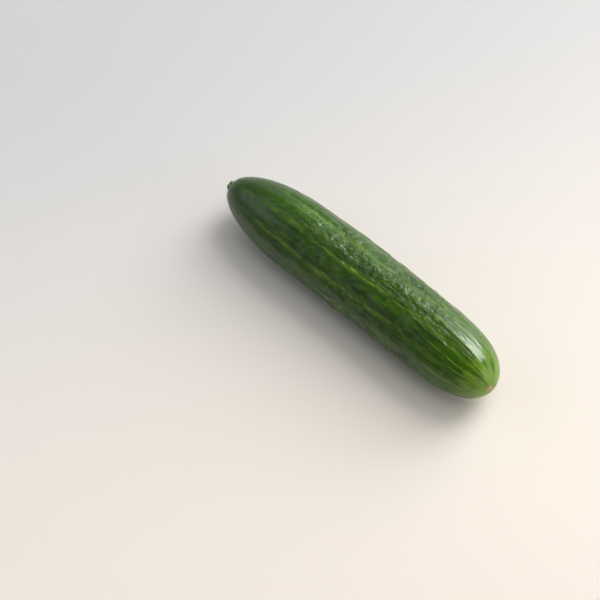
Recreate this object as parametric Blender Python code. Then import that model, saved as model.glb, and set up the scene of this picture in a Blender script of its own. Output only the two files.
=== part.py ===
# One English cucumber, lying as it would on a table: the fruit and the stub of its stem.
# Metres, +Z up. The fruit lies along X, with the stem end at -X and the blossom end at +X.
# The origin is on the table, under the middle of the box round the two.

from math import atan2, cos, hypot, pi, radians, sin, sqrt

import bmesh
import bpy
from mathutils import Vector, noise

# Fruit: driving sizes
LENGTH = 0.200  # stem pole to blossom pole
DIAMETER = 0.0436  # at the thickest place
STEM_TAPER = 0.0615  # length over which the stem end rounds off
STEM_FULLNESS = 2.2  # 2 would make the end a quarter of an ellipse, and more makes it fuller
BLOSSOM_TAPER = 0.068
BLOSSOM_FULLNESS = 4.2  # the blossom end is blunter than the stem end
SLIMMING = 0.029  # share by which the blossom side is slimmer than the stem side
BOW = 0.0027  # sideways curve of the fruit, middle against the two ends
FLAT_DEPTH = 0.0005  # how deep the resting spot is pressed in underneath

# Fruit: relief of the skin
RIB_COUNT = 10
RIB_HEIGHT = 0.00055  # groove floor to rib crest
RIB_SWAY = radians(2.5)  # how far a rib wanders round the fruit along its length
SWAY_LENGTH = 0.120
BELLY_ANGLE = radians(-90)  # one rib runs along the underside
CARPELS = 3  # the fruit grows from three chambers, so its section is a little three-sided
CARPEL_SWELL = 0.00030
CARPEL_ANGLE = radians(75)
BUMP_HEIGHT = 0.00060  # puckers that stand on the ribs
BUMP_SIZE = Vector((0.0085, 0.0075, 0.0075))  # along the fruit, and across it twice
SMOOTH_AT_STEM = (0.012, 0.060)  # ribs start and are full this far from the stem pole
SMOOTH_AT_BLOSSOM = (0.003, 0.040)  # the same from the blossom pole
PUCKERS_AT_STEM = (0.025, 0.075)
PUCKERS_AT_BLOSSOM = (0.020, 0.060)

# Fruit: the hollow that the stem stub sits in, and the scar that the flower left
SOCKET_RADIUS = 0.0075
SOCKET_DEPTH = 0.0018
SOCKET_FLOOR = 0.0041  # radius of its even floor
SCAR_RADIUS = 0.0019
SCAR_SIDE = -0.0030  # the scar lies a little off the axis, to the side and up
SCAR_RISE = 0.0021
SCAR_SINK = 0.00015  # how far the corky scar lies below the skin
SCAR_MOAT_RADIUS = 0.0042
SCAR_MOAT_DEPTH = 0.00045

# Fruit: fineness of the mesh
SIDES = 60  # six to a rib
POLE_STEP = 0.00080  # spacing of the rings at the two poles
BODY_STEP = 0.00300  # and along the middle
STEP_GROWTH = 0.20  # how fast the spacing grows away from a pole
HALVINGS = 30  # steps of the search for a place on the blossom end

# Stem stub
STUB_RADIUS = 0.0029
STUB_HEIGHT = 0.0027
FOOT_HOLLOW = 0.0004  # its foot is hollow, so that its edge follows the domed floor of the socket
STUB_LOBES = 5
STUB_LOBE_SHARE = 0.13  # how far its lobes stand out, as a share of its radius
STUB_SIDES = 40
GAP = 0.0003  # clearance between the stub and the fruit


def smoothstep(edges, value):
    """0 below the first edge, 1 above the second, and a soft step between them."""
    share = min(1.0, max(0.0, (value - edges[0]) / (edges[1] - edges[0])))
    return share * share * (3 - 2 * share)


def body_radius(along):
    """Radius of the plain fruit at a distance from its stem pole."""
    from_blossom = LENGTH - along
    radius = DIAMETER / 2 * (1 - SLIMMING * along / LENGTH)
    if along < STEM_TAPER:
        radius *= sqrt(max(0.0, 1 - (1 - along / STEM_TAPER) ** STEM_FULLNESS))
    if from_blossom < BLOSSOM_TAPER:
        radius *= sqrt(max(0.0, 1 - (1 - from_blossom / BLOSSOM_TAPER) ** BLOSSOM_FULLNESS))
    return radius


def blossom_place(off_axis):
    """Distance from the stem pole at which the blossom end has this radius."""
    near, far = LENGTH - BLOSSOM_TAPER, LENGTH
    for _ in range(HALVINGS):
        middle = (near + far) / 2
        near, far = (middle, far) if body_radius(middle) > off_axis else (near, middle)
    return (near + far) / 2


def ring_places():
    """Distances from the stem pole at which the profile has a point: even along the skin, closer at the poles."""
    count = 20000
    fine = [LENGTH / 2 * (1 - cos(pi * i / count)) for i in range(count + 1)]
    skin = [0.0]
    for before, after in zip(fine, fine[1:]):
        skin.append(skin[-1] + hypot(after - before, body_radius(after) - body_radius(before)))
    total = skin[-1]
    wanted = [0.0]
    while wanted[-1] < total:
        from_pole = min(wanted[-1], total - wanted[-1])
        wanted.append(wanted[-1] + min(BODY_STEP, POLE_STEP + STEP_GROWTH * from_pole))
    stretch = total / wanted[-1]
    places, index = [], 0
    for length in wanted:
        while index < count and skin[index] < length * stretch - 1e-9:
            index += 1
        places.append(fine[index])
    places[-1] = LENGTH
    return places


def relief(along, around):
    """How far the skin stands out of the plain fruit, at a distance from the stem pole and an angle round X."""
    from_blossom = LENGTH - along
    ribbed = smoothstep(SMOOTH_AT_STEM, along) * smoothstep(SMOOTH_AT_BLOSSOM, from_blossom)
    puckered = smoothstep(PUCKERS_AT_STEM, along) * smoothstep(PUCKERS_AT_BLOSSOM, from_blossom)
    swayed = around - BELLY_ANGLE + RIB_SWAY * sin(2 * pi * along / SWAY_LENGTH)
    crest = 0.5 + 0.5 * cos(RIB_COUNT * swayed)
    swell = CARPEL_SWELL * cos(CARPELS * (around - CARPEL_ANGLE))
    place = Vector((along / BUMP_SIZE.x, DIAMETER / 2 * cos(around) / BUMP_SIZE.y,
                    DIAMETER / 2 * sin(around) / BUMP_SIZE.z))
    pucker = BUMP_HEIGHT * noise.noise(place) * (0.35 + 0.65 * crest)
    return ribbed * (RIB_HEIGHT * (crest - 0.5) + swell) + puckered * pucker


def drawn_to_scar(place):
    """Moves a point of the plain blossom end along its surface, so that the rings close on the scar."""
    full = body_radius(LENGTH - BLOSSOM_TAPER)
    off_axis = hypot(place.y, place.z)
    if place.x < LENGTH - BLOSSOM_TAPER or off_axis > 0.99 * full:
        return place
    share = (1 - off_axis / full) ** 2
    y, z = place.y + share * SCAR_SIDE, place.z + share * SCAR_RISE
    return Vector((blossom_place(hypot(y, z)), y, z))


def end_marks(along, off_axis):
    """The stem's socket at one pole, and the flower's scar in its shallow moat at the other."""
    if along < LENGTH / 2:
        return -SOCKET_DEPTH * (1 - smoothstep((SOCKET_FLOOR, SOCKET_RADIUS), off_axis))
    moat = 1 - smoothstep((SCAR_RADIUS, SCAR_MOAT_RADIUS), off_axis)
    button = 1 - smoothstep((0.6 * SCAR_RADIUS, SCAR_RADIUS), off_axis)
    return (SCAR_MOAT_DEPTH - SCAR_SINK) * button - SCAR_MOAT_DEPTH * moat


def spun_profile(mesh, places, radius_at):
    """Turns a profile round the X axis into a closed surface of quads and two fans."""
    profile = [mesh.verts.new((along, 0.0, radius_at(along))) for along in places]
    edges = [mesh.edges.new(pair) for pair in zip(profile, profile[1:])]
    bmesh.ops.spin(mesh, geom=profile + edges, cent=(0, 0, 0), axis=(1, 0, 0),
                   angle=2 * pi, steps=SIDES, use_merge=True)
    bmesh.ops.remove_doubles(mesh, verts=mesh.verts, dist=1e-6)
    bmesh.ops.recalc_face_normals(mesh, faces=mesh.faces)


def pressed_flat(mesh):
    """Cuts the lowest part of the belly away and closes it with one flat face to rest on."""
    table = min(vert.co.z for vert in mesh.verts) + FLAT_DEPTH
    geometry = mesh.verts[:] + mesh.edges[:] + mesh.faces[:]
    bmesh.ops.bisect_plane(mesh, geom=geometry, plane_co=(0, 0, table), plane_no=(0, 0, 1),
                           clear_inner=True, dist=1e-6)
    rim = [edge for edge in mesh.edges if edge.is_boundary]
    bmesh.ops.holes_fill(mesh, edges=rim)
    bmesh.ops.recalc_face_normals(mesh, faces=mesh.faces)


def fruit_mesh():
    """The fruit with its ribs, puckers, socket, scar, bow and resting spot."""
    mesh = bmesh.new()
    spun_profile(mesh, ring_places(), body_radius)
    plain = [vert.co.copy() for vert in mesh.verts]
    for vert in mesh.verts:
        vert.co = drawn_to_scar(vert.co)
    mesh.normal_update()
    moved = []
    for vert, before in zip(mesh.verts, plain):
        along, off_axis = before.x, hypot(before.y, before.z)
        around = atan2(before.z, before.y)
        place = vert.co + vert.normal * relief(along, around)
        place.x += end_marks(along, off_axis) * (1 if along > LENGTH / 2 else -1)
        moved.append(place)
    for vert, place in zip(mesh.verts, moved):
        from_middle = place.x - LENGTH / 2
        vert.co = (from_middle, place.y + BOW * (1 - (2 * from_middle / LENGTH) ** 2), place.z)
    pressed_flat(mesh)
    return mesh


def settled_on_table(*meshes):
    """The move that brings the origin under the middle of the box round these meshes, on the table."""
    places = [vert.co for mesh in meshes for vert in mesh.verts]
    low = [min(place[axis] for place in places) for axis in range(3)]
    high = [max(place[axis] for place in places) for axis in range(3)]
    return Vector((-(low[0] + high[0]) / 2, -(low[1] + high[1]) / 2, -low[2]))


def stub_ring(mesh, x, radius, lobes):
    """One ring of the stem stub, with five soft lobes."""
    ring = []
    for i in range(STUB_SIDES):
        angle = 2 * pi * i / STUB_SIDES
        reach = radius * (1 + lobes * cos(STUB_LOBES * angle))
        ring.append(mesh.verts.new((x, reach * cos(angle), reach * sin(angle))))
    return ring


def stub_mesh():
    """The stub of the stem: a hollow foot, a lobed neck and a domed, torn end with a sunken pith."""
    foot = -LENGTH / 2 + SOCKET_DEPTH - GAP
    end = foot - STUB_HEIGHT
    stations = (
        (foot, 0.55, 0.0),
        (foot + FOOT_HOLLOW, 0.94, 1.0),
        (foot - 0.10 * STUB_HEIGHT, 1.00, 1.2),
        (foot - 0.45 * STUB_HEIGHT, 0.92, 1.0),
        (foot - 0.75 * STUB_HEIGHT, 0.96, 1.1),
        (foot - 0.95 * STUB_HEIGHT, 0.86, 1.3),
        (end, 0.70, 1.2),
        (end, 0.45, 0.6),
        (end + 0.10 * STUB_HEIGHT, 0.28, 0.3),
    )
    mesh = bmesh.new()
    rings = [stub_ring(mesh, x, STUB_RADIUS * size, STUB_LOBE_SHARE * lobes)
             for x, size, lobes in stations]
    for inner, outer in zip(rings, rings[1:]):
        for i in range(STUB_SIDES):
            after = (i + 1) % STUB_SIDES
            mesh.faces.new((inner[i], inner[after], outer[after], outer[i]))
    mesh.faces.new(rings[0])
    mesh.faces.new(rings[-1])
    bmesh.ops.recalc_face_normals(mesh, faces=mesh.faces)
    return mesh


def plain_material(name, colour, roughness):
    """A Principled material of one colour."""
    material = bpy.data.materials.new(name)
    material.use_nodes = True
    shader = material.node_tree.nodes["Principled BSDF"]
    shader.inputs["Base Color"].default_value = (*colour, 1.0)
    shader.inputs["Roughness"].default_value = roughness
    shader.inputs["Metallic"].default_value = 0.0
    return material


def add_object(name, mesh, material, move):
    """Makes a named, smooth-shaded object of the mesh, moved into its place."""
    data = bpy.data.meshes.new(name)
    bmesh.ops.translate(mesh, verts=mesh.verts, vec=move)
    mesh.to_mesh(data)
    mesh.free()
    data.shade_smooth()
    data.set_sharp_from_angle(angle=radians(35))
    data.materials.append(material)
    made = bpy.data.objects.new(name, data)
    bpy.context.scene.collection.objects.link(made)
    return made


def main():
    for old in list(bpy.data.objects):
        bpy.data.objects.remove(old)
    skin = plain_material("green_skin", (0.055, 0.130, 0.025), 0.35)
    stem = plain_material("cut_stem", (0.260, 0.330, 0.080), 0.80)
    fruit, stub = fruit_mesh(), stub_mesh()
    move = settled_on_table(fruit, stub)
    add_object("fruit", fruit, skin, move)
    add_object("stem_stub", stub, stem, move)


main()
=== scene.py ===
# %% [markdown]
# # A short English cucumber
#
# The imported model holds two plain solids: the fruit, and the stub of its stem. They have the right size
# and place, and they are what the physics uses. This lesson gives them their looks: a finely ribbed,
# puckered and streaked skin, and a torn stem. The solids stay as they are, and each new piece stands
# for one of them.

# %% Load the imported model
from math import atan2, cos, hypot, pi, radians, sin, sqrt

import bmesh
import bpy
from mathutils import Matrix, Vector, noise


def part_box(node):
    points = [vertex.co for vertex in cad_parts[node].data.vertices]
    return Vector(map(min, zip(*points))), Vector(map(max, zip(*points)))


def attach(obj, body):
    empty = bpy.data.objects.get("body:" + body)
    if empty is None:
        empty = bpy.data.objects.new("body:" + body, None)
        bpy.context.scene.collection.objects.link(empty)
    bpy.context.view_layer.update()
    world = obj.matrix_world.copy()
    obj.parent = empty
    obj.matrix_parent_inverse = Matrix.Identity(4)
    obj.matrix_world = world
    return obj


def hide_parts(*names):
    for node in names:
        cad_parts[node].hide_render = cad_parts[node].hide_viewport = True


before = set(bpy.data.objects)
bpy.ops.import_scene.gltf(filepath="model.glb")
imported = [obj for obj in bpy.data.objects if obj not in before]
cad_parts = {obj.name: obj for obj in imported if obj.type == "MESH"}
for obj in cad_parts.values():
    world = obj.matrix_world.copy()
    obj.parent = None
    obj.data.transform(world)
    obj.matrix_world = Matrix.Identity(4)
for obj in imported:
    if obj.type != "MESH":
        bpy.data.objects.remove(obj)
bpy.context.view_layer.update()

print("the packed solids:", sorted(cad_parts))

# %% [markdown]
# ## The plain body
#
# A cucumber is a turned body: one profile, swung round its long axis. The stem end is almost a quarter of
# an ellipse, the blossom end is blunter, and the whole fruit bows slightly to one side. The profile could
# be drawn by hand as a curve. A formula is used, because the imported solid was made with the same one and
# the same values, so the fine skin lies on it.

# %% Driving sizes of the fruit
LENGTH = 0.200  # stem pole to blossom pole
DIAMETER = 0.0436  # before the slimming
STEM_TAPER = 0.0615  # how far this taper reaches from its pole
STEM_FULLNESS = 2.2  # 2 is an ellipse, and more is blunter
BLOSSOM_TAPER = 0.068
BLOSSOM_FULLNESS = 4.2
SLIMMING = 0.029  # the share of the radius that is lost on the way to the blossom pole
BOW = 0.0027  # how far the middle of the axis lies to the side


def body_radius(along):
    """Radius of the plain fruit at a distance from its stem pole."""
    from_blossom = LENGTH - along
    radius = DIAMETER / 2 * (1 - SLIMMING * along / LENGTH)
    if along < STEM_TAPER:
        radius *= sqrt(max(0.0, 1 - (1 - along / STEM_TAPER) ** STEM_FULLNESS))
    if from_blossom < BLOSSOM_TAPER:
        radius *= sqrt(max(0.0, 1 - (1 - from_blossom / BLOSSOM_TAPER) ** BLOSSOM_FULLNESS))
    return radius


def bowed(along):
    """How far the bow moves the fruit sideways at a distance from the stem pole."""
    return BOW * (1 - (2 * along / LENGTH - 1) ** 2)


print("radius every 40 mm:", [round(1000 * body_radius(0.04 * i), 1) for i in range(6)])

# %% [markdown]
# ## Where the flower sat
#
# The flower leaves its scar a little off the axis. A scar that is drawn beside the pole cuts across the
# rings of points, and its edge comes out ragged. So the points of the blossom end are moved along the
# surface, most of all at the pole, and the rings close on the middle of the scar.

# %% Draw the rings of the blossom end to the scar
SCAR_SIDE = -0.0030  # the scar's place off the axis, to the side and up
SCAR_RISE = 0.0021
DRAWN_SHARE = 0.99  # points further off the axis than this share of the full radius stay
HALVINGS = 30


def blossom_place(off_axis):
    """Distance from the stem pole at which the blossom end has this radius, found by halving."""
    near, far = LENGTH - BLOSSOM_TAPER, LENGTH
    for _ in range(HALVINGS):
        middle = (near + far) / 2
        near, far = (middle, far) if body_radius(middle) > off_axis else (near, middle)
    return (near + far) / 2


def drawn_to_scar(place):
    """Moves a point of the plain blossom end along its surface, so that the rings close on the scar."""
    full = body_radius(LENGTH - BLOSSOM_TAPER)
    off_axis = hypot(place.y, place.z)
    if place.x < LENGTH - BLOSSOM_TAPER or off_axis > DRAWN_SHARE * full:
        return place
    share = (1 - off_axis / full) ** 2
    y, z = place.y + share * SCAR_SIDE, place.z + share * SCAR_RISE
    return Vector((blossom_place(hypot(y, z)), y, z))


print("the scar lies", round(1000 * hypot(SCAR_SIDE, SCAR_RISE), 1), "mm off the axis")

# %% [markdown]
# ## Where the fruit lies
#
# The stub stands on the middle of its socket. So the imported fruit's point that is nearest to the stub's
# foot is the bottom of the socket, and it gives the height of the axis and its place across. The place
# could be typed in as numbers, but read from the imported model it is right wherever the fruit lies.

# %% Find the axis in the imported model
SOCKET_DEPTH = 0.0018  # how deep the bottom of the stub's socket lies in the stem end

stub_low, stub_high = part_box("stem_stub")
foot_middle = Vector((stub_high.x, (stub_low.y + stub_high.y) / 2, (stub_low.z + stub_high.z) / 2))
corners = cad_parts["fruit"].data.vertices
bottom = min((vert.co for vert in corners), key=lambda place: (place - foot_middle).length).copy()
stem_pole = bottom - Vector((SOCKET_DEPTH, bowed(SOCKET_DEPTH), 0))
scar_middle = stem_pole + Vector((blossom_place(hypot(SCAR_SIDE, SCAR_RISE)), SCAR_SIDE, SCAR_RISE))
print("stem pole and scar in mm:", [round(1000 * value, 2) for value in (*stem_pole, *scar_middle)])

# %% [markdown]
# ## Turned bodies
#
# Both pieces start as a row of points that Blender's spin swings round the X axis. A stretched sphere would
# do for a first try, but its rings would not follow this profile. Here they are closer together at the
# poles, where the profile curves most. The spin leaves one point at each pole for every step, so doubles
# are merged, and the normals are made to point outwards.

# %% A helper that turns a profile
PROFILE_STEPS = 20000  # short steps in which the length of a profile is measured
ROUNDING = 1e-9
MERGE_DISTANCE = 1e-6


def even_places(start, stop, radius_at, pole_step, body_step, growth):
    """Places along X from start to stop, spaced along the profile, closer together at both ends."""
    shares = [(1 - cos(pi * i / PROFILE_STEPS)) / 2 for i in range(PROFILE_STEPS + 1)]
    fine = [start + (stop - start) * share for share in shares]
    skin = [0.0]
    for before, after in zip(fine, fine[1:]):
        skin.append(skin[-1] + hypot(after - before, radius_at(after) - radius_at(before)))
    total = skin[-1]
    wanted = [0.0]
    while wanted[-1] < total:
        from_pole = min(wanted[-1], total - wanted[-1])
        wanted.append(wanted[-1] + min(body_step, pole_step + growth * from_pole))
    stretch = total / wanted[-1]
    places, index = [], 0
    for length in wanted:
        while index < PROFILE_STEPS and skin[index] < length * stretch - ROUNDING:
            index += 1
        places.append(fine[index])
    places[-1] = stop
    return places


def turned(points, sides):
    """A closed bmesh: the profile's (x, radius) points spun round the X axis."""
    mesh = bmesh.new()
    profile = [mesh.verts.new((x, 0.0, radius)) for x, radius in points]
    edges = [mesh.edges.new(pair) for pair in zip(profile, profile[1:])]
    bmesh.ops.spin(mesh, geom=profile + edges, cent=(0, 0, 0), axis=(1, 0, 0),
                   angle=2 * pi, steps=sides, use_merge=True)
    bmesh.ops.remove_doubles(mesh, verts=mesh.verts, dist=MERGE_DISTANCE)
    bmesh.ops.recalc_face_normals(mesh, faces=mesh.faces)
    mesh.normal_update()
    return mesh


trial = turned([(0.0, 0.0), (1.0, 1.0), (2.0, 0.0)], sides=8)
print("a double cone turned in 8 steps has", len(trial.verts), "points")
trial.free()

# %% [markdown]
# ## Places and soft steps
#
# The skin's relief is a sum of heights, and each depends on how far along the fruit a point lies and on
# the angle round it. Nothing on a fruit starts suddenly, so the heights come and go in soft steps. Noise
# could be read at the point itself. Read on a straight cylinder it follows the fruit, and its lines meet
# at the poles as the real ones do.

# %% Helpers for the relief


def smoothstep(edges, value):
    """0 below the first edge, 1 above the second, and a soft step between them."""
    share = min(1.0, max(0.0, (value - edges[0]) / (edges[1] - edges[0])))
    return share * share * (3 - 2 * share)


def between(low, high, share):
    """The value at a share of the way from low to high."""
    return low + (high - low) * share


def away_from_ends(at_stem, at_blossom, along):
    """1 along the middle of the fruit, and 0 at both poles."""
    return smoothstep(at_stem, along) * smoothstep(at_blossom, LENGTH - along)


def on_cylinder(along, around):
    """The place on a straight cylinder, which the skin's patterns are read from."""
    return Vector((along, DIAMETER / 2 * cos(around), DIAMETER / 2 * sin(around)))


def scaled(place, size):
    """The place measured in multiples of a size."""
    return Vector((place.x / size.x, place.y / size.y, place.z / size.z))


print("a soft step a quarter, half and three quarters of the way:",
      [smoothstep((0.0, 1.0), share) for share in (0.25, 0.5, 0.75)])

# %% [markdown]
# ## The broad relief
#
# Ten soft ribs run from end to end on the real fruit and sway a little. The three chambers inside swell
# the skin from beneath, and shallow puckers lie on the ribs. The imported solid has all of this, so the
# same formulas are used with the same values. A picture could push the skin out too, as a displacement,
# but it would be squeezed at the poles, and the number of ribs couldn't be changed in it.

# %% Ribs, swells and puckers
RIB_COUNT = 10
RIB_HEIGHT = 0.00055  # from groove to crest
RIB_SWAY = radians(2.5)  # how far the ribs swing round the fruit, to either side
SWAY_LENGTH = 0.120
BELLY_ANGLE = radians(-90)  # straight down, where one rib's crest runs
CARPELS = 3
CARPEL_SWELL = 0.00030
CARPEL_ANGLE = radians(75)
SMOOTH_AT_STEM = (0.012, 0.060)  # the ribs start and are full this far from the stem pole
SMOOTH_AT_BLOSSOM = (0.003, 0.040)  # and this far from the blossom pole
PUCKER_SIZE = Vector((0.0085, 0.0075, 0.0075))
PUCKER_HEIGHT = 0.00060
PUCKERS_IN_GROOVES = 0.35  # the share of their height that is left there
PUCKERS_AT_STEM = (0.025, 0.075)
PUCKERS_AT_BLOSSOM = (0.020, 0.060)


def rib_crest(along, around):
    """1 on a rib's crest and 0 in a groove."""
    swayed = around - BELLY_ANGLE + RIB_SWAY * sin(2 * pi * along / SWAY_LENGTH)
    return 0.5 + 0.5 * cos(RIB_COUNT * swayed)


def broad_relief(along, around):
    """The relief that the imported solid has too."""
    crest = rib_crest(along, around)
    swell = CARPEL_SWELL * cos(CARPELS * (around - CARPEL_ANGLE))
    pucker = PUCKER_HEIGHT * noise.noise(scaled(on_cylinder(along, around), PUCKER_SIZE))
    pucker *= between(PUCKERS_IN_GROOVES, 1.0, crest)
    ribbed = away_from_ends(SMOOTH_AT_STEM, SMOOTH_AT_BLOSSOM, along)
    puckered = away_from_ends(PUCKERS_AT_STEM, PUCKERS_AT_BLOSSOM, along)
    return ribbed * (RIB_HEIGHT * (crest - 0.5) + swell) + puckered * pucker


crests = [BELLY_ANGLE + 2 * pi * i / RIB_COUNT for i in range(RIB_COUNT)]
print("broad relief on the ribs in mm:",
      [round(1000 * broad_relief(LENGTH / 2, around), 2) for around in crests])

# %% [markdown]
# ## Rumples and creases
#
# Along its middle the skin is rumpled: small cushions with sharp creases between them. Noise with its sign
# dropped gives just that, round hills that meet in sharp valleys, and a second noise bends them out of
# their regular pattern. A bump map could fake them, but real relief breaks up the reflections at the
# outline too. The rumples are strongest on one side. Away from it they grow calmer, most of all near the
# stem. The seed of the noise is set, so that every run gives the same skin.

# %% Cushions with creases between them
RUMPLE_SIZE = Vector((0.0062, 0.0035, 0.0035))
RUMPLE_HEIGHT = 0.00110
CREASE_SIZE = Vector((0.0025, 0.0016, 0.0016))
CREASE_HEIGHT = 0.00054
NOISE_MEAN = 0.2  # about the mean of the noise without its sign, taken off to keep the fruit's size
WARP = 0.8  # how far the cushions are pushed out of a regular pattern, as a share of their size
RUMPLED_SIDE = radians(80)  # the side on which the skin is rumpled most
RUMPLED_FAR_SIDE = 0.20  # the share of the rumples' height that is left on the far side
RUMPLED_GROOVES = 0.45  # and in the grooves
SHELTERED_SIDES = (0.875, 0.985)  # sheltered where it faces that side by less than this, open by more
SHELTERED_SHARE = 0.8  # how much of the rumples is missing where it is sheltered, near the stem
SHELTERED_TO = (0.050, 0.110)  # the sheltered part ends over this stretch from the stem pole
PATCH_SIZE = Vector((0.030, 0.010, 0.010))  # the skin is rumpled in patches of this size
NOISE_SEED = 4
noise.seed_set(NOISE_SEED)  # without it the warp of the cushions would be new in each run


def facing(around, side):
    """1 on one side of the fruit, 0 on the far side, and a soft change between them."""
    return 0.5 + 0.5 * cos(around - side)


def patchy(place, size, mean, contrast, lowest=0.0):
    """A share from lowest to 1 that changes from place to place."""
    return min(1.0, max(lowest, mean + contrast * noise.noise(scaled(place, size))))


def cushions(place):
    """Round hills with sharp creases between them, about 0 on average."""
    warp = noise.noise_vector(scaled(place, 2 * RUMPLE_SIZE)) * WARP
    hills = abs(noise.noise(scaled(place, RUMPLE_SIZE) + warp)) - NOISE_MEAN
    small = abs(noise.noise(scaled(place, CREASE_SIZE) + 2 * warp)) - NOISE_MEAN
    return RUMPLE_HEIGHT * hills + CREASE_HEIGHT * small


def sheltered_cushions(along, around):
    """The cushions, calmer near the stem where the skin is sheltered."""
    sheltered = 1 - smoothstep(SHELTERED_SIDES, facing(around, RUMPLED_SIDE))
    calm = SHELTERED_SHARE * sheltered * (1 - smoothstep(SHELTERED_TO, along))
    return cushions(on_cylinder(along, around)) * (1 - calm)


def rumples(along, around):
    """The cushions as they stand in the skin: in patches, and strongest on crests and on one side."""
    strength = between(RUMPLED_GROOVES, 1.0, rib_crest(along, around))
    strength *= patchy(on_cylinder(along, around), PATCH_SIZE, mean=0.75, contrast=0.9, lowest=0.15)
    strength *= between(RUMPLED_FAR_SIDE, 1.0, facing(around, RUMPLED_SIDE))
    strength *= away_from_ends(PUCKERS_AT_STEM, PUCKERS_AT_BLOSSOM, along)
    return sheltered_cushions(along, around) * strength


print("rumples along 10 mm in mm:",
      [round(1000 * rumples(LENGTH / 2 + 0.001 * i, RUMPLED_SIDE), 2) for i in range(11)])

# %% [markdown]
# ## Furrows, lines and ridges
#
# A narrow furrow runs along the floor of each groove, and fine lines run lengthwise between them, softer
# near the blossom end. There a fine ridge stands on each rib. Furrows and ridges have gaps, where the
# real skin is smooth. They could be cut in one by one along curves. Instead a high power of the ribs' own
# wave makes them, since that narrows each crest and groove and keeps the sway.

# %% The height of the skin at a place
FURROW_DEPTH = 0.00030
FURROW_SHARPNESS = 10  # a higher power is narrower
GAP_SIZE = Vector((0.014, 0.012, 0.012))
LINE_SIZE = Vector((0.045, 0.0021, 0.0021))
LINE_HEIGHT = 0.00040
LINED_SIDE = radians(45)  # the side on which the lines are deepest
LINES_BY_SIDE = (0.80, 1.50)  # shares of their height, on the far side and on that side
LINES_AT_BLOSSOM = (0.002, 0.014)  # they start and are full this far from the blossom pole
SOFTER_AT_BLOSSOM = (0.040, 0.075)  # they are softer up to the first distance, and full from the second
SOFTER_SHARE = 0.5
RIDGE_HEIGHT = 0.00017
RIDGE_SHARPNESS = 24
RIDGE_AT_BLOSSOM = (0.060, 0.028)  # it starts and is full this far from the blossom pole
RIDGE_IN_GAPS = 0.3


def relief(along, around):
    """How far the skin stands out of the plain fruit."""
    from_blossom = LENGTH - along
    place = on_cylinder(along, around)
    crest = rib_crest(along, around)
    whole = patchy(place, GAP_SIZE, mean=0.5, contrast=2.0)
    furrow = -FURROW_DEPTH * (1 - crest) ** FURROW_SHARPNESS * whole
    furrow *= away_from_ends(SMOOTH_AT_STEM, SMOOTH_AT_BLOSSOM, along)
    lines = LINE_HEIGHT * noise.noise(scaled(place, LINE_SIZE))
    lines *= between(*LINES_BY_SIDE, facing(around, LINED_SIDE))
    lines *= between(SOFTER_SHARE, 1.0, smoothstep(SOFTER_AT_BLOSSOM, from_blossom))
    ridge = RIDGE_HEIGHT * crest ** RIDGE_SHARPNESS * smoothstep(RIDGE_AT_BLOSSOM, from_blossom)
    ridge *= between(RIDGE_IN_GAPS, 1.0, whole)
    lined = away_from_ends(SMOOTH_AT_STEM, LINES_AT_BLOSSOM, along)
    return broad_relief(along, around) + rumples(along, around) + furrow + lined * (lines + ridge)


heights = [1000 * relief(LENGTH / 2, radians(i)) for i in range(360)]
print("relief round the middle, lowest and highest in mm:", round(min(heights), 2), round(max(heights), 2))

# %% [markdown]
# ## Both ends
#
# The stub sits in a shallow dish, and the scar is a flat button in a shallow moat. They could be cut and
# bevelled in the mesh, but the real ones have no sharp edge. So they are soft steps in the distance from
# the pole, and the points move along the fruit there.

# %% The socket and the scar
SOCKET_FLOOR = 0.0041  # the floor is flat to this radius, and the wall ends at the next
SOCKET_RADIUS = 0.0075
SCAR_RADIUS = 0.0019
SCAR_TOP = 0.6  # the share of its radius to which the scar is flat
SCAR_SINK = 0.00015  # how far it lies below the skin
SCAR_MOAT_RADIUS = 0.0042
SCAR_MOAT_DEPTH = 0.00045


def end_marks(along, off_axis):
    """The stem's socket at one pole, and the flower's scar in its shallow moat at the other."""
    if along < LENGTH / 2:
        return -SOCKET_DEPTH * (1 - smoothstep((SOCKET_FLOOR, SOCKET_RADIUS), off_axis))
    moat = 1 - smoothstep((SCAR_RADIUS, SCAR_MOAT_RADIUS), off_axis)
    button = 1 - smoothstep((SCAR_TOP * SCAR_RADIUS, SCAR_RADIUS), off_axis)
    return (SCAR_MOAT_DEPTH - SCAR_SINK) * button - SCAR_MOAT_DEPTH * moat


depths = [end_marks(0.0, 0.0), end_marks(LENGTH, SCAR_RADIUS), end_marks(LENGTH, 0.0)]
print("socket, moat and scar in mm:", [round(1000 * depth, 2) for depth in depths])

# %% [markdown]
# ## The fine skin
#
# The skin is one closed piece of about 84,000 points. They are some 0.6 mm apart, close enough for creases
# 2 mm wide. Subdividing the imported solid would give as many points, but not in even rings. Each point also
# keeps two facts that the material will read: where it lies on a straight cylinder, so that streaks follow
# the fruit and meet at its poles, and how high the cushions stand there.

# %% Make the skin
SKIN_SIDES = 200
SKIN_POLE_STEP = 0.00015
SKIN_BODY_STEP = 0.00057
SKIN_STEP_GROWTH = 0.03


def piece(name, mesh):
    """Makes a smooth-shaded object of a bmesh, at the origin."""
    data = bpy.data.meshes.new(name)
    mesh.to_mesh(data)
    mesh.free()
    data.shade_smooth()
    made = bpy.data.objects.new(name, data)
    bpy.context.scene.collection.objects.link(made)
    return made


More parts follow.
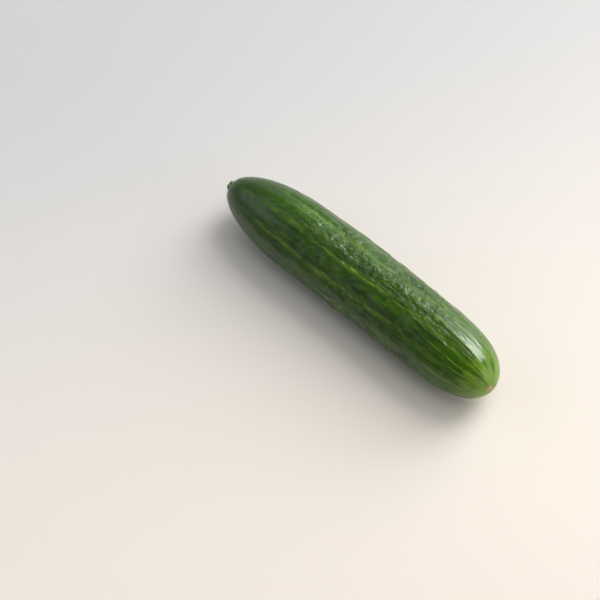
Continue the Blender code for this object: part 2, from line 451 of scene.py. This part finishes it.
def fruit_skin():
    """The fruit's skin, with its relief, bow and flat spot, and its two attributes."""
    places = even_places(0.0, LENGTH, body_radius, SKIN_POLE_STEP, SKIN_BODY_STEP, SKIN_STEP_GROWTH)
    mesh = turned([(along, body_radius(along)) for along in places], SKIN_SIDES)
    place_layer = mesh.verts.layers.float_vector.new("skin_place")
    height_layer = mesh.verts.layers.float.new("rumple")
    plain = [vert.co.copy() for vert in mesh.verts]
    for vert in mesh.verts:
        vert.co = drawn_to_scar(vert.co)
    mesh.normal_update()
    moved = []
    for vert, before in zip(mesh.verts, plain):
        along, off_axis = before.x, hypot(before.y, before.z)
        around = atan2(before.z, before.y)
        vert[place_layer] = on_cylinder(along, around)
        vert[height_layer] = sheltered_cushions(along, around) / RUMPLE_HEIGHT
        spot = vert.co + vert.normal * relief(along, around)
        spot.x += end_marks(along, off_axis) * (1 if along > LENGTH / 2 else -1)
        moved.append(spot)
    for vert, spot in zip(mesh.verts, moved):
        spot.y += bowed(spot.x)
        vert.co = spot + stem_pole
        vert.co.z = max(0.0, vert.co.z)
    return piece("cucumber_skin", mesh)


skin = fruit_skin()
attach(skin, "root")
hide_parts("fruit")
print("the skin has", len(skin.data.vertices), "points and", len(skin.data.polygons), "faces")

# %% [markdown]
# ## The stub of the stem
#
# Where the fruit was pulled off its vine, a short piece of five-sided stem stays in its socket. An extruded
# star would give the five sides, but not the round foot and the domed end. So it is turned from a profile
# too, then pushed into five lobes, and its end is torn with noise.

# %% Make the stub
STUB_RADIUS = 0.0029
STUB_WAIST = 0.04  # the wave of waist and shoulder, as a share of the radius
STUB_WAVES = 1.3
STUB_FOOT = 0.10  # the foot is round up to this share of the height
STUB_DOME = 0.72  # and the end is domed from this share on
STUB_LOBES = 5
STUB_LOBE_SHARE = 0.13
STUB_SIDES = 120
STUB_STEP = 0.00012
ROUGH_PER_METRE = 2200  # how closely the fine roughness of the sides is spaced
ROUGH_SQUEEZE = 1.5  # and how much closer lengthwise
ROUGH_SHARE = 0.05  # how far it stands out, as a share of the radius
TORN_PART = (0.75, 1.0)  # shares of the height between which the tear grows to its full depth
TEARS_PER_METRE = 1400
STUB_TEAR = 0.00025  # how deep the torn end is roughened
STUB_HOLLOW = 0.9  # how much deeper the tear goes in the middle, in multiples of its depth

stub_height = stub_high.x - stub_low.x


def stub_radius(share):
    """Radius of the stub at a share of its height, from its foot to its domed, torn end."""
    waist = 1 - STUB_WAIST + STUB_WAIST * cos(2 * pi * STUB_WAVES * share)
    foot = 1 - (1 - min(1.0, share / STUB_FOOT)) ** 2
    dome = 1 - max(0.0, (share - STUB_DOME) / (1 - STUB_DOME)) ** 3
    return STUB_RADIUS * waist * sqrt(max(0.0, foot * dome))


def stem_stub():
    """The lobed, torn stub of the stem."""
    foot, end = stub_high.x - stem_pole.x, stub_low.x - stem_pole.x

    def radius_at(x):
        return stub_radius((foot - x) / stub_height)

    places = even_places(end, foot, radius_at, STUB_STEP, STUB_STEP, growth=0.0)
    mesh = turned([(x, radius_at(x)) for x in places], STUB_SIDES)
    for vert in mesh.verts:
        around = atan2(vert.co.z, vert.co.y)
        torn = smoothstep(TORN_PART, (foot - vert.co.x) / stub_height)
        reach = 1 + STUB_LOBE_SHARE * cos(STUB_LOBES * around)
        squeezed = Vector((ROUGH_SQUEEZE * vert.co.x, vert.co.y, vert.co.z))
        rough = noise.noise(squeezed * ROUGH_PER_METRE)
        vert.co.y *= reach * (1 + ROUGH_SHARE * rough)
        vert.co.z *= reach * (1 + ROUGH_SHARE * rough)
        middle = 1 - min(1.0, hypot(vert.co.y, vert.co.z) / STUB_RADIUS)
        tear = abs(noise.noise(vert.co * TEARS_PER_METRE)) + STUB_HOLLOW * middle
        vert.co.x += torn * STUB_TEAR * tear
        vert.co += stem_pole
    bmesh.ops.recalc_face_normals(mesh, faces=mesh.faces)
    return piece("torn_stem", mesh)


stub = stem_stub()
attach(stub, "root")
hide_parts("stem_stub")
print("the stub has", len(stub.data.vertices), "points and", len(stub.data.polygons), "faces")

# %% [markdown]
# ## Materials from nodes
#
# The finishes could be painted on pictures, but those need maps with seams and blur in a close view. Nodes
# need neither. A few short helpers keep their code readable: one adds a node, sets its values and links its
# inputs, and the others are the steps that come up again and again.

# %% Helpers for nodes
MIX_SHARE, MIX_FIRST, MIX_SECOND, MIX_RESULT = 0, 6, 7, 2  # where a Mix node keeps its colour sockets


def new_material(name):
    """A material and its node tree, with only the Principled shader and the output."""
    material = bpy.data.materials.new(name)
    material.use_nodes = True
    return material, material.node_tree


def add(tree, kind, settings=None, **inputs):
    """Adds a node. Settings are its properties, and inputs are values or other nodes' outputs."""
    made = tree.nodes.new(kind)
    for name, value in (settings or {}).items():
        setattr(made, name, value)
    for name, value in inputs.items():
        socket = made.inputs[int(name[1:])] if name[0] == "_" else made.inputs[name.replace("_", " ")]
        if isinstance(value, bpy.types.NodeSocket):
            tree.links.new(value, socket)
        else:
            socket.default_value = value
    return made


def mix(tree, share, first, second):
    """Mixes two colours by a share."""
    made = tree.nodes.new("ShaderNodeMix")
    made.data_type = "RGBA"
    for index, value in ((MIX_SHARE, share), (MIX_FIRST, first), (MIX_SECOND, second)):
        if isinstance(value, bpy.types.NodeSocket):
            tree.links.new(value, made.inputs[index])
        else:
            made.inputs[index].default_value = value if index == MIX_SHARE else (*value, 1.0)
    return made.outputs[MIX_RESULT]


def math(tree, operation, first, second=0.5):
    """One step of arithmetic. A sine or an absolute value leaves the second value unused."""
    return add(tree, "ShaderNodeMath", {"operation": operation}, _0=first, _1=second).outputs[0]


def times(tree, first, second):
    """The product of two values."""
    return math(tree, "MULTIPLY", first, second)


def plus(tree, first, second):
    """The sum of two values."""
    return math(tree, "ADD", first, second)


# %% [markdown]
# ## Layers, fades and grain
#
# A natural finish is a stack of thin layers, each a colour and a share that says where it lies. The share
# comes from a fade, or from noise with soft edges. A comparison would give a hard edge instead, but
# nothing on a fruit is that sharp.

# %% Helpers for layers and noise


def lay(tree, over, colour, share, strength):
    """Lays a colour over another where the share is high, never more than the strength."""
    return mix(tree, times(tree, share, strength), over, colour)


def dot(tree, place, direction):
    """How far a place lies in a direction."""
    return add(tree, "ShaderNodeVectorMath", {"operation": "DOT_PRODUCT"}, _0=place,
               _1=direction).outputs["Value"]


def fade(tree, value, low, high, to_low=0.0, to_high=1.0):
    """Maps a value softly from one range to another. Low may be above high, which turns it round."""
    made = add(tree, "ShaderNodeMapRange", {"interpolation_type": "SMOOTHSTEP"}, Value=value,
               From_Min=low, From_Max=high, To_Min=to_low, To_Max=to_high)
    return made.outputs["Result"]


def pattern(tree, place, size, detail=2.0, roughness=0.5, distortion=0.0):
    """Noise whose grain has the given size along the fruit and across it, in metres."""
    stretched = add(tree, "ShaderNodeVectorMath", {"operation": "DIVIDE"}, _0=place, _1=size)
    made = add(tree, "ShaderNodeTexNoise", None, Vector=stretched.outputs[0], Scale=1.0,
               Detail=detail, Roughness=roughness, Distortion=distortion)
    return made.outputs["Factor"] if "Factor" in made.outputs else made.outputs["Fac"]


def spots(tree, place, edges, **grain):
    """A pattern with soft edges. The edges are those of a fade: low, high, and what they are mapped to."""
    return fade(tree, pattern(tree, place, **grain), *edges)


# %% [markdown]
# ## Where a streak runs
#
# The skin's streaks lie in its furrows, so the material has to know where the ribs are. Stripes could be
# painted by hand along each of them. Here the nodes read the attribute that each point keeps, and work out
# the angle within a rib with the same wave that made the relief. A little noise lets the streaks wander.

# %% Helpers that find the ribs and the side that faces the key light
# painted light: the side that faces the key light is made a little lighter in colour
LIT_SIDE = radians(58)  # the side on which the skin is a little lighter
LIT_SIDE_EDGES = (0.45, 1.0)
WANDER = dict(size=(0.010, 0.005, 0.005), detail=3.0)
WANDER_ANGLE = 1.9  # how far a streak wanders, as an angle within a rib


def rib_phase(tree, place, along):
    """The angle within a rib, 0 on its crest and pi in the furrow: first as it is, then with a wander."""
    parts = add(tree, "ShaderNodeSeparateXYZ", None, Vector=place)
    around = math(tree, "ARCTAN2", parts.outputs["Z"], parts.outputs["Y"])
    sway = math(tree, "SINE", times(tree, along, 2 * pi / SWAY_LENGTH))
    swayed = plus(tree, around, times(tree, sway, RIB_SWAY))
    phase = times(tree, math(tree, "SUBTRACT", swayed, BELLY_ANGLE), float(RIB_COUNT))
    wander = math(tree, "SUBTRACT", pattern(tree, place, **WANDER), 0.5)
    return phase, plus(tree, phase, times(tree, wander, WANDER_ANGLE))


def furrow_band(tree, phase, half_width):
    """1 in the middle of a furrow, fading to 0 at a distance given as a share of a rib's width."""
    return fade(tree, math(tree, "COSINE", phase), -cos(2 * pi * half_width), -1.0)


def crest_band(tree, phase, half_width):
    """The same on the crest of a rib."""
    return fade(tree, math(tree, "COSINE", phase), cos(2 * pi * half_width), 1.0)


def lit_side_share(tree, place):
    """1 on the side that faces the key light, and 0 on the sides that face away from it."""
    outward = (0.0, 2 * cos(LIT_SIDE) / DIAMETER, 2 * sin(LIT_SIDE) / DIAMETER)
    return fade(tree, dot(tree, place, outward), *LIT_SIDE_EDGES)


print("a rib is", round(1000 * pi * DIAMETER / RIB_COUNT, 1), "mm wide")

# %% [markdown]
# ## The green of the skin
#
# A cucumber's green is not one colour. Broad clouds and finer ones mix a deep green with a leaf green. The
# side that faces the key light is painted a little lighter, as painted light. The creases are painted a
# deeper green, as painted shade, and the cushion tops a fresher green, as painted light. One noise with much
# detail could do the clouds alone, but two of different size look less even. The height of the cushions is
# read from the skin's own attribute, so colour and relief fit each other.

# %% Mix the greens
DEEP_GREEN = (0.011, 0.040, 0.0010)
LEAF_GREEN = (0.036, 0.104, 0.0030)
FRESH_GREEN = (0.060, 0.160, 0.003)
MOTTLE = dict(size=(0.014, 0.0042, 0.0042), detail=5.0, roughness=0.65, distortion=0.4)
MOTTLE_EDGES = (0.34, 0.72)
# painted light, which lifts the mottle on the side that faces the key light
PAINTED_LIGHT_LIFT = 0.15  # what the sunny side adds to the mottle, which makes it lighter
CLOUDS = dict(size=(0.0040, 0.0022, 0.0022), detail=4.0, roughness=0.7)
LIGHT_CLOUDS = (0.52, 0.80, 0.0, 0.55)  # from and to in the noise, and from and to in strength
DARK_CLOUDS = (0.48, 0.20, 0.0, 0.55)
# painted shade darkens the creases, and painted light freshens the cushion tops
CREASE_SHADE_HEIGHTS = (-0.04, -0.24)  # heights of the cushions, as shares of RUMPLE_HEIGHT
CREASE_SHADE_STRENGTH = 0.36
DOME_LIGHT_HEIGHTS = (0.02, 0.26)
DOME_LIGHT_STRENGTH = 0.22


def mottled_green(tree, place, rumple, lit_side):
    """Deep and leaf green in clouds, painted lighter on the lit side, with painted shade in the creases and
    painted light on the cushion tops.
    """
    lighter = plus(tree, pattern(tree, place, **MOTTLE), times(tree, lit_side, PAINTED_LIGHT_LIFT))
    green = mix(tree, fade(tree, lighter, *MOTTLE_EDGES), DEEP_GREEN, LEAF_GREEN)
    clouds = pattern(tree, place, **CLOUDS)
    green = mix(tree, fade(tree, clouds, *LIGHT_CLOUDS), green, LEAF_GREEN)
    green = mix(tree, fade(tree, clouds, *DARK_CLOUDS), green, DEEP_GREEN)
    green = lay(tree, green, DEEP_GREEN, fade(tree, rumple, *CREASE_SHADE_HEIGHTS), CREASE_SHADE_STRENGTH)
    return lay(tree, green, FRESH_GREEN, fade(tree, rumple, *DOME_LIGHT_HEIGHTS), DOME_LIGHT_STRENGTH)


# %% [markdown]
# ## Streaks, lines and flecks
#
# Broken yellow-green streaks run along the furrows, each with a thin pale core in dashes. Finer lines lie
# between them, and small flecks all over. Waves alone would give even stripes, so noise breaks each one up.

# %% Lay the streaks
STREAK_GREEN = (0.100, 0.215, 0.006)
LINE_GREEN = (0.200, 0.340, 0.030)
BROKEN = dict(edges=(0.40, 0.58), size=(0.017, 0.005, 0.005), detail=5.0, roughness=0.65)
STREAK_WIDTH = 0.15  # half of the streak's width, as a share of a rib's
STREAK_STRENGTH = 0.56
DASHED = dict(edges=(0.47, 0.62), size=(0.006, 0.003, 0.003), detail=3.0)
CORE_WIDTH = 0.030
CORE_STRENGTH = 0.75
FINE_LINES = dict(edges=(0.60, 0.74), size=(0.030, 0.0011, 0.0011), detail=3.0)
FINE_STRENGTH = 0.35
FLECKS = dict(edges=(0.62, 0.74), size=(0.0019, 0.0014, 0.0014), detail=3.0)
FLECK_STRENGTH = 0.34


def streaked(tree, place, phase, green):
    """The green with its broken streaks, their pale cores, fine lines and flecks."""
    broken = spots(tree, place, **BROKEN)
    band = times(tree, furrow_band(tree, phase, STREAK_WIDTH), broken)
    green = lay(tree, green, STREAK_GREEN, band, STREAK_STRENGTH)
    core = times(tree, furrow_band(tree, phase, CORE_WIDTH), broken)
    core = times(tree, core, spots(tree, place, **DASHED))
    green = lay(tree, green, LINE_GREEN, core, CORE_STRENGTH)
    green = lay(tree, green, STREAK_GREEN, spots(tree, place, **FINE_LINES), FINE_STRENGTH)
    return lay(tree, green, STREAK_GREEN, spots(tree, place, **FLECKS), FLECK_STRENGTH)


# %% [markdown]
# ## The pale blossom end
#
# Towards the blossom the green grows fresher, and then pale in rays that meet at the scar. A thin pale line
# runs along each rib's crest there, with hairlines between. A plain fade would leave a ring, so the fade
# is added to two noises, and the pale green starts where their sum is high.

# %% Lighten the blossom end
PALE_GREEN = (0.180, 0.330, 0.020)
FRESH_REACH = (0.060, 0.010)  # each reach starts and is full this far from the blossom pole
FRESH_STRENGTH = 0.35
BROAD = dict(size=(0.014, 0.0075, 0.0075), detail=4.0)
RAYS = dict(size=(0.009, 0.0032, 0.0032), detail=4.0, roughness=0.7, distortion=0.9)
RAY_SHARE = 0.55
PALE_REACH = (0.026, 0.0)
PALE_LIFT = 0.19  # what is added to the two noises at the pole
TIP_REACH = (0.007, 0.0)
TIP_LIFT = 0.06
PALE_EDGES = (0.53, 0.78, 0.0, 0.9)
CREST_WIDTH = 0.030
CREST_REACH = (0.052, 0.026)
WORN = dict(edges=(0.40, 0.58, 0.30, 0.85), size=(0.009, 0.004, 0.004), detail=3.0)
HAIRS = dict(edges=(0.60, 0.68), size=(0.016, 0.0013, 0.0013), detail=2.0)
HAIR_REACH = (0.045, 0.010)
HAIR_STRENGTH = 0.60


def near_blossom(tree, along, reach, highest=1.0):
    """0 at the first distance from the blossom pole, and the highest value at the second."""
    return fade(tree, along, LENGTH - reach[0], LENGTH - reach[1], to_high=highest)


def pale_end(tree, place, along, phase, green):
    """The green, paler towards the blossom, with rays, crest lines and hairlines."""
    green = lay(tree, green, FRESH_GREEN, near_blossom(tree, along, FRESH_REACH), FRESH_STRENGTH)
    broad = times(tree, pattern(tree, place, **BROAD), 1 - RAY_SHARE)
    rays = times(tree, pattern(tree, place, **RAYS), RAY_SHARE)
    lift = times(tree, near_blossom(tree, along, PALE_REACH), PALE_LIFT)
    pale = plus(tree, plus(tree, broad, rays), lift)
    pale = plus(tree, pale, near_blossom(tree, along, TIP_REACH, TIP_LIFT))
    green = mix(tree, fade(tree, pale, *PALE_EDGES), green, PALE_GREEN)
    crest = times(tree, crest_band(tree, phase, CREST_WIDTH), near_blossom(tree, along, CREST_REACH))
    crest = times(tree, crest, spots(tree, place, **WORN))
    green = mix(tree, crest, green, LINE_GREEN)
    hairs = times(tree, spots(tree, place, **HAIRS), near_blossom(tree, along, HAIR_REACH))
    return lay(tree, green, LINE_GREEN, hairs, HAIR_STRENGTH)


# %% [markdown]
# ## Scar and stem end
#
# The scar is dry cork in two browns, and its rim is ragged because noise is added to the distance from its
# middle. It could be a piece of its own, but it is the fruit's skin, so it is colour on it. At the other end
# the green is duller and greyer, with a fine dust that is partly real bloom and partly a painted sheen of
# the pale walls, and the lit side has less of it.

# %% Colour the scar and the stem end
SCAR_TAN = (0.680, 0.470, 0.240)
SCAR_BROWN = (0.440, 0.200, 0.085)
CORK = dict(size=(0.0010, 0.0010, 0.0010), detail=3.0)
CORK_EDGES = (0.42, 0.60)
RAGGED = 0.0024  # how far the noise moves the rim
RIM = (0.0016, 0.0008)  # how far past the scar's radius the cork starts and is full, with that noise
STEM_END_GREEN = (0.016, 0.046, 0.0040)
# a grey dust: partly real bloom, partly a painted sheen, less of it on the side that faces the key light
DUST_AND_SHEEN_GREEN = (0.040, 0.078, 0.0160)
DUST_AND_SHEEN = dict(edges=(0.44, 0.60), size=(0.0035, 0.0022, 0.0022), detail=4.0, roughness=0.7)
DUST_AND_SHEEN_BY_SIDE = (0.3, 0.9, 1.0, 0.15)
DULL_REACH = (0.060, 0.010)  # it starts and is full this far from the stem pole
DULL_STRENGTH = 0.80


def scarred(tree, green):
    """The green with the flower's corky scar."""
    place = add(tree, "ShaderNodeTexCoord").outputs["Object"]
    offset = add(tree, "ShaderNodeVectorMath", {"operation": "SUBTRACT"}, _0=place, _1=scar_middle)
    distance = add(tree, "ShaderNodeVectorMath", {"operation": "LENGTH"}, _0=offset.outputs[0])
    cork = pattern(tree, place, **CORK)
    ragged = plus(tree, distance.outputs["Value"], times(tree, cork, RAGGED))
    corky = fade(tree, ragged, SCAR_RADIUS + RIM[0], SCAR_RADIUS + RIM[1])
    brown = mix(tree, fade(tree, cork, *CORK_EDGES), SCAR_BROWN, SCAR_TAN)
    return mix(tree, corky, green, brown)


def dull_end(tree, place, along, lit_side, green):
    """The green, duller near the stem, with a dust that is partly real bloom and partly painted sheen."""
    dust_and_sheen_share = times(tree, spots(tree, place, **DUST_AND_SHEEN), fade(tree, lit_side, *DUST_AND_SHEEN_BY_SIDE))
    dust_and_sheen = mix(tree, dust_and_sheen_share, STEM_END_GREEN, DUST_AND_SHEEN_GREEN)
    return lay(tree, green, dust_and_sheen, fade(tree, along, *DULL_REACH), DULL_STRENGTH)


# %% [markdown]
# ## Shine and wrinkles
#
# The wax on a cucumber is uneven, so its shine changes every few millimetres and is duller near the stem.
# Wrinkles of 1 to 3 mm break the shine into glints. They are too fine for the mesh, so a bump on the
# shader's normal makes them. They fade out at both ends, where the real skin is smooth.

# %% Give the skin its shine and put its material together
GLOSS = dict(edges=(0.36, 0.64, 0.06, 0.24), size=(0.0060, 0.0036, 0.0036), detail=4.0, roughness=0.7)
DULLER_AT_STEM = (0.110, 0.030, 0.0, 0.06)
GRAIN = dict(size=(0.0020, 0.0012, 0.0012), detail=3.0, roughness=0.65)
GRAIN_SHARE = 0.45
WRINKLES = dict(size=(0.0034, 0.0017, 0.0017), detail=3.0, roughness=0.6, distortion=0.5)
WRINKLE_SHARE = 3.0
WRINKLES_AT_STEM = (0.02, 0.07)
WRINKLES_AT_BLOSSOM = (0.006, 0.044)
WRINKLES_BY_SIDE = (0.0, 0.5, 0.45, 1.0)
WRINKLE_DEPTH = 0.00045
WRINKLE_STRENGTH = 0.8
SKIN_SPECULAR = 0.44


def wrinkled(tree, place, along, lit_side):
    """The skin's normal, bent by fine grain and by wrinkles."""
    folds = math(tree, "ABSOLUTE", math(tree, "SUBTRACT", pattern(tree, place, **WRINKLES), 0.5))
    folds = times(tree, folds, WRINKLE_SHARE)
    at_blossom = near_blossom(tree, along, WRINKLES_AT_BLOSSOM)
    middle = times(tree, fade(tree, along, *WRINKLES_AT_STEM), at_blossom)
    middle = times(tree, middle, fade(tree, lit_side, *WRINKLES_BY_SIDE))
    grain = times(tree, pattern(tree, place, **GRAIN), GRAIN_SHARE)
    height = plus(tree, grain, times(tree, folds, middle))
    bump = add(tree, "ShaderNodeBump", None, Strength=WRINKLE_STRENGTH, Distance=WRINKLE_DEPTH,
               Height=height)
    return bump.outputs["Normal"]


def paint_skin():
    """The green skin: streaks, pale blossom end, scar, dull stem end, uneven shine and wrinkles."""
    material, tree = new_material("cucumber_green")
    shader = tree.nodes["Principled BSDF"]
    place = add(tree, "ShaderNodeAttribute", {"attribute_name": "skin_place"}).outputs["Vector"]
    rumple = add(tree, "ShaderNodeAttribute", {"attribute_name": "rumple"}).outputs["Fac"]
    along = add(tree, "ShaderNodeSeparateXYZ", None, Vector=place).outputs["X"]
    steady, wandering = rib_phase(tree, place, along)
    lit_side = lit_side_share(tree, place)

    green = mottled_green(tree, place, rumple, lit_side)
    green = streaked(tree, place, wandering, green)
    green = pale_end(tree, place, along, steady, green)
    green = scarred(tree, green)
    green = dull_end(tree, place, along, lit_side, green)
    tree.links.new(green, shader.inputs["Base Color"])

    rough = plus(tree, spots(tree, place, **GLOSS), fade(tree, along, *DULLER_AT_STEM))
    tree.links.new(rough, shader.inputs["Roughness"])
    tree.links.new(wrinkled(tree, place, along, lit_side), shader.inputs["Normal"])
    shader.inputs["Specular IOR Level"].default_value = SKIN_SPECULAR
    print("the skin's material has", len(tree.nodes), "nodes")
    return material


skin.data.materials.append(paint_skin())

# %% [markdown]
# ## The stem's finish
#
# The torn stem is dry: green to yellow-green along its fibres, and tan at the torn edge. A second material
# for the torn faces would meet the first in a hard line. So one material changes from side to end over an
# uneven border, and the same grain gives it its colours and its bump.

# %% Paint the stub
STEM_GREEN = (0.055, 0.085, 0.012)
STEM_LIME = (0.230, 0.340, 0.045)
STEM_TAN = (0.420, 0.360, 0.160)
FIBRES = dict(size=(0.0016, 0.0005, 0.0005), detail=3.0)
SIDE_EDGES = (0.42, 0.66)
TORN_EDGES = (0.45, 0.62)
TORN_DEPTH = 0.0008  # how far the paler, torn part reaches down from the end
TORN_BORDER = (1.3, 0.7)  # it starts and is full at these multiples of that depth
FIBRE_BUMP = 0.0002
FIBRE_STRENGTH = 0.5
STUB_ROUGHNESS = 0.75


def paint_stub():
    """The dry torn stem."""
    material, tree = new_material("torn_stem_dry")
    shader = tree.nodes["Principled BSDF"]
    place = add(tree, "ShaderNodeTexCoord").outputs["Object"]
    grain = pattern(tree, place, **FIBRES)
    torn = mix(tree, fade(tree, grain, *TORN_EDGES), STEM_LIME, STEM_TAN)
    side = mix(tree, fade(tree, grain, *SIDE_EDGES), STEM_GREEN, STEM_LIME)
    height = add(tree, "ShaderNodeSeparateXYZ", None, Vector=place).outputs["X"]
    uneven = plus(tree, height, times(tree, grain, TORN_DEPTH))
    border = [stub_low.x + share * TORN_DEPTH for share in TORN_BORDER]
    tree.links.new(mix(tree, fade(tree, uneven, *border), side, torn), shader.inputs["Base Color"])
    bump = add(tree, "ShaderNodeBump", None, Strength=FIBRE_STRENGTH, Distance=FIBRE_BUMP, Height=grain)
    tree.links.new(bump.outputs["Normal"], shader.inputs["Normal"])
    shader.inputs["Roughness"].default_value = STUB_ROUGHNESS
    print("the stub's material has", len(tree.nodes), "nodes")
    return material


stub.data.materials.append(paint_stub())

# %% [markdown]
# ## The floor
#
# A plain pale floor turns from a cool, darker grey to a warm cream across the view, a painted fall-off of
# the light. A curved backdrop would hide the horizon too, but it would stand in the way of a camera on the
# other side. So the floor is round and wide. The lamps reach only its middle, so further out it glows a
# little, and it stays pale up to the horizon.

# %% Lay the floor
FLOOR_RADIUS = 12.0
FLOOR_SIDES = 64
# painted fall-off of the light: the floor is darker and cooler towards one side
FLOOR_SHADED_COOL = (0.61, 0.615, 0.625)
FLOOR_LIT_WARM = (0.91, 0.83, 0.75)
LIGHT_FALLOFF_DIRECTION = (1.0, -0.60, 0.0)
LIGHT_FALLOFF_RANGE = (-0.30, 0.20)
GLOW_RANGE = (0.25, 2.4, 0.0, 0.85)  # from and to in metres from the middle, and from and to in strength
FLOOR_ROUGHNESS = 0.4
FLOOR_SPECULAR = 0.05


def floor():
    """A round floor, darker and cooler to one side: a painted fall-off of the light."""
    mesh = bmesh.new()
    bmesh.ops.create_circle(mesh, cap_ends=True, segments=FLOOR_SIDES, radius=FLOOR_RADIUS)
    made = piece("floor", mesh)
    material, tree = new_material("pale_floor")
    shader = tree.nodes["Principled BSDF"]
    place = add(tree, "ShaderNodeTexCoord").outputs["Object"]
    across = dot(tree, place, LIGHT_FALLOFF_DIRECTION)
    colour = mix(tree, fade(tree, across, *LIGHT_FALLOFF_RANGE), FLOOR_SHADED_COOL, FLOOR_LIT_WARM)
    distance = add(tree, "ShaderNodeVectorMath", {"operation": "LENGTH"}, _0=place).outputs["Value"]
    tree.links.new(colour, shader.inputs["Base Color"])
    tree.links.new(colour, shader.inputs["Emission Color"])
    tree.links.new(fade(tree, distance, *GLOW_RANGE), shader.inputs["Emission Strength"])
    shader.inputs["Roughness"].default_value = FLOOR_ROUGHNESS
    shader.inputs["Specular IOR Level"].default_value = FLOOR_SPECULAR
    made.data.materials.append(material)
    print("the floor reaches", FLOOR_RADIUS, "m")
    return made


floor()

# %% [markdown]
# ## The studio
#
# This studio is dark overhead and in front, and its walls are pale at the back. So the skin stays deep green
# where it faces up, and gets a pale rim where it faces the walls. Real walls could be built round the
# fruit, but they would block the camera from other sides, so the world gives their light. The camera
# itself sees a plain backdrop in the floor's two tones instead.

# %% Set the world
WALL_BACK = (0.85, 0.85, 0.84)
WALL_FRONT = (0.14, 0.145, 0.16)
CEILING = (0.05, 0.05, 0.055)
BACK = Vector((0.45, 0.89, 0.0))
WALL_RANGE = (-0.5, 0.6)  # the walls turn pale between these, measured towards the back
CEILING_RANGE = (0.30, 0.75)  # and the ceiling begins and is full between these, measured upwards
BACKDROP_RANGE = (-0.5, 0.5)


def studio():
    """World light: walls pale at the back and dim in front, a dark ceiling, and a backdrop."""
    world = bpy.data.worlds.new("studio")
    world.use_nodes = True
    tree = world.node_tree
    direction = add(tree, "ShaderNodeTexCoord").outputs["Generated"]
    height = add(tree, "ShaderNodeSeparateXYZ", None, Vector=direction).outputs["Z"]
    walls = mix(tree, fade(tree, dot(tree, direction, BACK), *WALL_RANGE), WALL_FRONT, WALL_BACK)
    tone = mix(tree, fade(tree, height, *CEILING_RANGE), walls, CEILING)
    # the backdrop has the floor's painted fall-off of the light
    across = dot(tree, direction, LIGHT_FALLOFF_DIRECTION)
    backdrop = mix(tree, fade(tree, across, *BACKDROP_RANGE), FLOOR_SHADED_COOL, FLOOR_LIT_WARM)
    seen = add(tree, "ShaderNodeLightPath").outputs["Is Camera Ray"]
    tree.links.new(mix(tree, seen, tone, backdrop), tree.nodes["Background"].inputs["Color"])
    bpy.context.scene.world = world


studio()
print("the studio's back lies towards", [round(value, 2) for value in BACK])

# %% [markdown]
# ## Soft light panels
#
# Three panels light the fruit and the floor like large windows: the key panel behind it, a warm one beyond
# its blossom end, and one overhead. A dim cool one over the stem end is close enough to veil only that
# half. One panel could give both light and shine, but then its shine couldn't be set alone. So the key
# and top panels give no reflection, and two more give nothing but that: the soft shine on the shoulder,
# and the bright narrow glints.

# %% Set the light panels
PANEL_AIM = Vector((0.0, 0.0, 0.02))


def panel(name, direction, distance, width, height, radiance, colour, reflected=True, lights=True):
    """A soft panel that faces the fruit. One that isn't reflected only lights, and one that doesn't
    light shows only in reflections. Its power follows from the radiance wanted."""
    light = bpy.data.lights.new(name, "AREA")
    light.shape = "RECTANGLE"
    light.size, light.size_y = width, height
    light.energy = radiance * pi * width * height
    light.color = colour
    made = bpy.data.objects.new(name, light)
    made.location = PANEL_AIM + Vector(direction).normalized() * distance
    made.rotation_euler = Vector(direction).to_track_quat("Z", "Y").to_euler()
    made.visible_camera = False
    made.visible_glossy = reflected
    made.visible_diffuse = lights
    bpy.context.scene.collection.objects.link(made)
    print(name, "gives", round(light.energy, 1), "W")


panel("key_panel", direction=(0.08, 0.77, 0.64), distance=1.6, width=1.05, height=1.85, radiance=4.8,
      colour=(1.0, 0.99, 0.97), reflected=False)
panel("shine_panel", direction=(0.08, 0.75, 0.66), distance=1.6, width=1.05, height=1.30, radiance=2.2,
      colour=(1.0, 0.99, 0.97), lights=False)
panel("glint_panel", direction=(0.29, 0.61, 0.74), distance=1.5, width=0.95, height=0.48, radiance=26.0,
      colour=(1.0, 1.0, 0.97), lights=False)
panel("side_panel", direction=(0.95, 0.28, 0.34), distance=1.8, width=1.2, height=1.0, radiance=1.2,
      colour=(1.0, 0.97, 0.92))
panel("top_panel", direction=(0.12, 0.08, 1.0), distance=1.6, width=1.2, height=1.2, radiance=1.5,
      colour=(1.0, 0.99, 0.98), reflected=False)
panel("fill_panel", direction=(-0.62, -0.38, 0.52), distance=0.90, width=0.90, height=0.70, radiance=0.9,
      colour=(0.88, 0.95, 1.0))

# %% [markdown]
# ## Camera
#
# The camera looks down steeply on the fruit from beyond its blossom end, through a long lens, as in the
# photograph. It could be dragged into place by eye. Here two angles and a distance from the middle of the
# fruit place it, and two short shifts set where the fruit lies in the picture.

# %% Set the camera
CAMERA_AZIMUTH = radians(42.46)
CAMERA_ELEVATION = radians(59.51)
CAMERA_DISTANCE = 0.9530
CAMERA_LENS = 100.0
AIM_RIGHT = -0.03451  # the view's centre, against the middle of the fruit
AIM_UP = -0.01115


def camera():
    """The camera that sees the fruit at the photograph's angle, place and size."""
    back = Vector((sin(CAMERA_AZIMUTH) * cos(CAMERA_ELEVATION),
                   -cos(CAMERA_AZIMUTH) * cos(CAMERA_ELEVATION), sin(CAMERA_ELEVATION)))
    right = Vector((cos(CAMERA_AZIMUTH), sin(CAMERA_AZIMUTH), 0.0))
    up = back.cross(right)
    middle = Vector((stem_pole.x + LENGTH / 2, 0.0, stem_pole.z))
    data = bpy.data.cameras.new("camera")
    data.lens = CAMERA_LENS
    made = bpy.data.objects.new("camera", data)
    made.location = middle + AIM_RIGHT * right + AIM_UP * up + CAMERA_DISTANCE * back
    made.rotation_euler = back.to_track_quat("Z", "Y").to_euler()
    bpy.context.scene.collection.objects.link(made)
    bpy.context.scene.camera = made
    print("the camera stands at", [round(value, 3) for value in made.location])


camera()
bpy.context.scene.view_settings.view_transform = "Standard"
